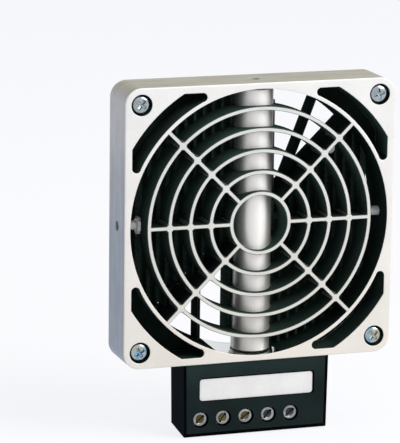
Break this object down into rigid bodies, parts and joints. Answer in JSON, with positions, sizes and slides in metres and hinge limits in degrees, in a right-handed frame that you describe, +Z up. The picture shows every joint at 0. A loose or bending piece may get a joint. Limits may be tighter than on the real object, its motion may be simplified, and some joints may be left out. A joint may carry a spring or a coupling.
{
  "type": "enclosure heater",
  "caption": "Flat enclosure heater: a square cast frame with a ring grille, an upright heater bar with fin blocks behind it, and a terminal block with a bare label below.",
  "frame": {"origin": "centre of the square frame's rear face, midway between the fixing studs", "axes": "X to the right seen from the front, Y from the grille to the back, Z up"},
  "size_m": [0.119, 0.03, 0.151],
  "materials": {
    "cast_aluminium": "bright machined front and outer faces, dark coated inner walls",
    "bar_aluminium": "smooth drawn bar",
    "black_anodised": "black anodised, slightly glossy",
    "sheath_steel": "drawn steel sheath",
    "zinc_steel": "bluish zinc plate",
    "black_plastic": "fine matt moulded plastic",
    "white_label": "plain white film",
    "brass": "plain brass",
    "plug_ceramic": "unglazed ceramic",
    "limiter_case": "dark moulded case",
    "grommet_rubber": "soft dull rubber",
    "lead_cover": "smooth silicone",
    "earth_cover": "smooth silicone"
  },
  "bodies": {
    "root": {"guard_frame": "cast_aluminium", "heater_bar": "bar_aluminium", "heating_cartridge": "sheath_steel", "cartridge_plug": "plug_ceramic", "left_fin_block": "black_anodised", "right_fin_block": "black_anodised", "corner_screws": "zinc_steel", "side_set_screws": "zinc_steel", "bar_set_screw": "zinc_steel", "block_screws": "zinc_steel", "terminal_housing": "black_plastic", "terminal_cover": "black_plastic", "label_plate": "white_label", "terminal_clamps": "brass", "terminal_screws": "zinc_steel", "link_strips": "brass", "heat_limiter": "limiter_case", "limiter_lead": "lead_cover", "cartridge_leads": "lead_cover", "lead_grommet": "grommet_rubber", "earth_tag": "brass", "earth_lead": "earth_cover", "housing_screws": "zinc_steel", "housing_washer": "zinc_steel", "cover_screws": "zinc_steel"}
  },
  "joints": []
}
